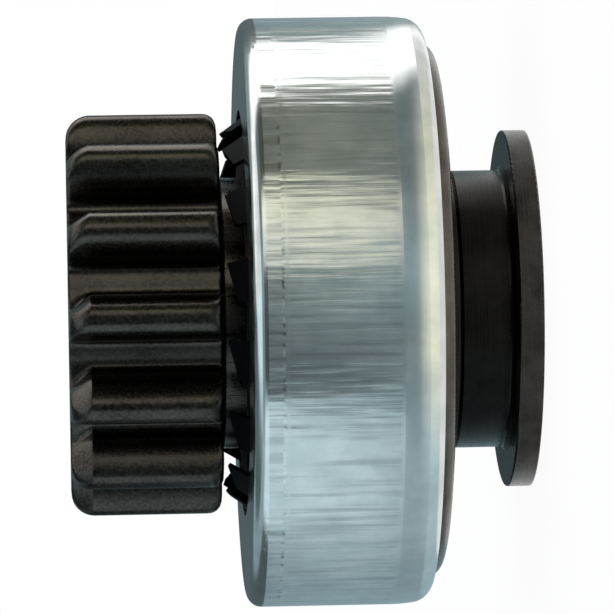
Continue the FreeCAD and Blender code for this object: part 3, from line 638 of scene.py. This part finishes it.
def tent_material():
    material = bpy.data.materials.new("studio_tent")
    material.use_nodes = True
    tree = material.node_tree
    tree.nodes.clear()
    x, y, height, radius = place_on_part(tree)
    angle = add(tree, "ShaderNodeMath", {0: x, 1: y}, operation="ARCTAN2")
    turn = add(tree, "ShaderNodeMath", {0: angle.outputs[0], 1: 2 * math.pi}, operation="DIVIDE")
    turn = add(tree, "ShaderNodeMath", {0: turn.outputs[0]}, operation="FRACT").outputs[0]
    nose = span(tree, height, *NOSE_ZONE_HEIGHT, 0.0, 1.0)
    high = span(tree, height, *END_ZONE_HEIGHT, 0.0, 1.0)
    near = span(tree, radius, *END_ZONE_RADIUS, 0.0, 1.0)
    end = add(tree, "ShaderNodeMath", {0: high, 1: near}, operation="MAXIMUM").outputs[0]
    floor = span(tree, height, *FLOOR_ZONE_HEIGHT, 1.0, 0.0)
    close = span(tree, radius, *LIP_ZONE_RADIUS, 0.0, 1.0)
    beside = add(tree, "ShaderNodeMath", {0: close, 1: floor}, operation="MULTIPLY").outputs[0]
    lid = span(tree, height, *LID_ZONE_HEIGHT, 0.0, 1.0)
    colour = band_colours(tree, turn, LEVEL_BANDS)
    for zone, bands in ((nose, NOSE_BANDS), (end, END_BANDS), (beside, LIP_BANDS), (lid, LID_BANDS)):
        colour = blend_colours(tree, zone, colour, band_colours(tree, turn, bands))
    light = add(tree, "ShaderNodeEmission", {"Color": colour})
    add(tree, "ShaderNodeOutputMaterial", {"Surface": light.outputs["Emission"]})
    return material


def around_point(angle_deg, radius, height):
    """Point at an angle that starts behind the part, at +Y, and turns over the picture's top, at +X."""
    angle = math.radians(angle_deg)
    return Vector((radius * math.sin(angle), radius * math.cos(angle), height))


def studio_tent():
    profile = [(CARD_HOLE, 0.0005), (TENT_RADIUS, 0.0005), (TENT_RADIUS, TENT_TOP), (0.001, TENT_TOP)]
    steps = 96
    points = [around_point(360 * i / steps, radius, height) for i in range(steps) for radius, height in profile]
    count = len(profile)
    faces = []
    for i in range(steps):
        this, after = i * count, (i + 1) % steps * count
        for k in range(count - 1):
            faces.append((this + k, this + k + 1, after + k + 1, after + k))
    mesh = bpy.data.meshes.new("studio_tent")
    mesh.from_pydata(points, [], faces)
    mesh.materials.append(tent_material())
    tent = bpy.data.objects.new("studio_tent", mesh)
    bpy.context.scene.collection.objects.link(tent)
    tent.visible_camera = False
    tent.visible_diffuse = False
    tent.visible_shadow = False
    return tent


tent = studio_tent()
print("tent faces:", len(tent.data.polygons))

# %% [markdown]
# The lamps are large and soft, and set by the brightness of their face, so that a colour renders about as it
# is written. They light what is matt, and the tent is what metal shows. One lamp stands above and a little
# behind, one above the camera, and a pale blue one below.

# %% Lamps
def soft_lamp(name, angle, distance, width, length, colour, radiance):
    """Rectangular lamp that faces the axis; its power follows from its area and brightness."""
    data = bpy.data.lights.new(name, "AREA")
    data.shape = "RECTANGLE"
    data.size = width
    data.size_y = length
    data.color = linear(colour)[:3]
    data.energy = radiance * math.pi * width * length
    lamp = bpy.data.objects.new(name, data)
    bpy.context.scene.collection.objects.link(lamp)
    place = around_point(angle, distance, 0.03)
    inward = -around_point(angle, 1.0, 0.0)
    sideways = Vector((0, 0, 1)).cross(inward)
    turn = Matrix((sideways, Vector((0, 0, 1)), -inward)).transposed()
    lamp.matrix_world = Matrix.Translation(place) @ turn.to_4x4()
    lamp.visible_glossy = False
    return lamp


soft_lamp("top_lamp", 65, 0.7, 0.4, 0.7, "ffffff", 2.2)
soft_lamp("front_lamp", 145, 0.75, 0.3, 0.7, "fff6e8", 1.6)
soft_lamp("bounce_lamp", 260, 0.7, 0.7, 0.7, "cfdde8", 0.5)

# %% [markdown]
# The floor under the collar and the background are white to the camera. The floor keeps part of
# its own shading, so the part's shadow stays on it, very soft.

# %% Floor and background
FLOOR_HALF = 0.6
WHITE_SHARE, WHITE_GLOW = 0.85, 1.1


def white_floor():
    corners = [(x * FLOOR_HALF, y * FLOOR_HALF, 0) for x, y in ((-1, -1), (1, -1), (1, 1), (-1, 1))]
    mesh = bpy.data.meshes.new("studio_floor")
    mesh.from_pydata(corners, [], [(0, 1, 2, 3)])
    material = bpy.data.materials.new("white_floor")
    material.use_nodes = True
    tree = material.node_tree
    tree.nodes.clear()
    path = add(tree, "ShaderNodeLightPath")
    seen = add(tree, "ShaderNodeMath", {0: path.outputs["Is Camera Ray"], 1: path.outputs["Is Glossy Ray"]},
               operation="MAXIMUM")
    share = add(tree, "ShaderNodeMath", {0: seen.outputs[0], 1: WHITE_SHARE}, operation="MULTIPLY")
    matt = add(tree, "ShaderNodeBsdfDiffuse", {"Color": linear("f4f4f2")})
    glow = add(tree, "ShaderNodeEmission", {"Color": linear("ffffff"), "Strength": WHITE_GLOW})
    both = add(tree, "ShaderNodeMixShader", {0: share.outputs[0], 1: matt.outputs[0], 2: glow.outputs[0]})
    add(tree, "ShaderNodeOutputMaterial", {"Surface": both.outputs[0]})
    mesh.materials.append(material)
    floor = bpy.data.objects.new("studio_floor", mesh)
    bpy.context.scene.collection.objects.link(floor)
    return floor


def white_world():
    world = bpy.data.worlds.new("white_studio")
    bpy.context.scene.world = world
    world.use_nodes = True
    tree = world.node_tree
    tree.nodes.clear()
    path = add(tree, "ShaderNodeLightPath")
    seen = add(tree, "ShaderNodeMath", {0: path.outputs["Is Camera Ray"], 1: path.outputs["Is Glossy Ray"]},
               operation="MAXIMUM")
    seen = add(tree, "ShaderNodeMath", {0: seen.outputs[0], 1: path.outputs["Is Transmission Ray"]},
               operation="MAXIMUM")
    fill = add(tree, "ShaderNodeBackground", {"Color": linear("dfe5ea"), "Strength": 0.45})
    white = add(tree, "ShaderNodeBackground", {"Color": linear("ffffff"), "Strength": 1.0})
    both = add(tree, "ShaderNodeMixShader", {0: seen.outputs[0], 1: fill.outputs[0], 2: white.outputs[0]})
    add(tree, "ShaderNodeOutputWorld", {"Surface": both.outputs[0]})


white_floor()
white_world()
bpy.context.scene.view_settings.view_transform = "Standard"
print("view transform:", bpy.context.scene.view_settings.view_transform)

# %% [markdown]
# ## The camera
#
# The photograph's edges fit a camera about half a metre away, level with the pinion's nose, that is turned a
# few degrees to bring the whole part into its frame, with the picture tipped one degree.

# %% Camera
FOCAL_PIXELS = 4543.0
PICTURE_PIXELS = 614
CAMERA_PLACE = Vector((0, -503.9, 50.74)) * MM
CAMERA_TARGET = Vector((0.517, 0, 24.45)) * MM
TIP_ANGLE = math.radians(0.99)


def photo_camera():
    data = bpy.data.cameras.new("photo_camera")
    data.sensor_width = 36.0
    data.lens = FOCAL_PIXELS * data.sensor_width / PICTURE_PIXELS
    data.clip_start = 0.01
    camera = bpy.data.objects.new("photo_camera", data)
    bpy.context.scene.collection.objects.link(camera)
    forward = (CAMERA_TARGET - CAMERA_PLACE).normalized()
    picture_right, picture_up = Vector((0, 0, -1)), Vector((1, 0, 0))
    up = picture_up * math.cos(TIP_ANGLE) + picture_right * math.sin(TIP_ANGLE)
    right = forward.cross(up).normalized()
    up = right.cross(forward)
    turn = Matrix((right, up, -forward)).transposed()
    camera.matrix_world = Matrix.Translation(CAMERA_PLACE) @ turn.to_4x4()
    bpy.context.scene.camera = camera
    return camera


camera = photo_camera()
print("lens:", round(camera.data.lens, 1), "mm")
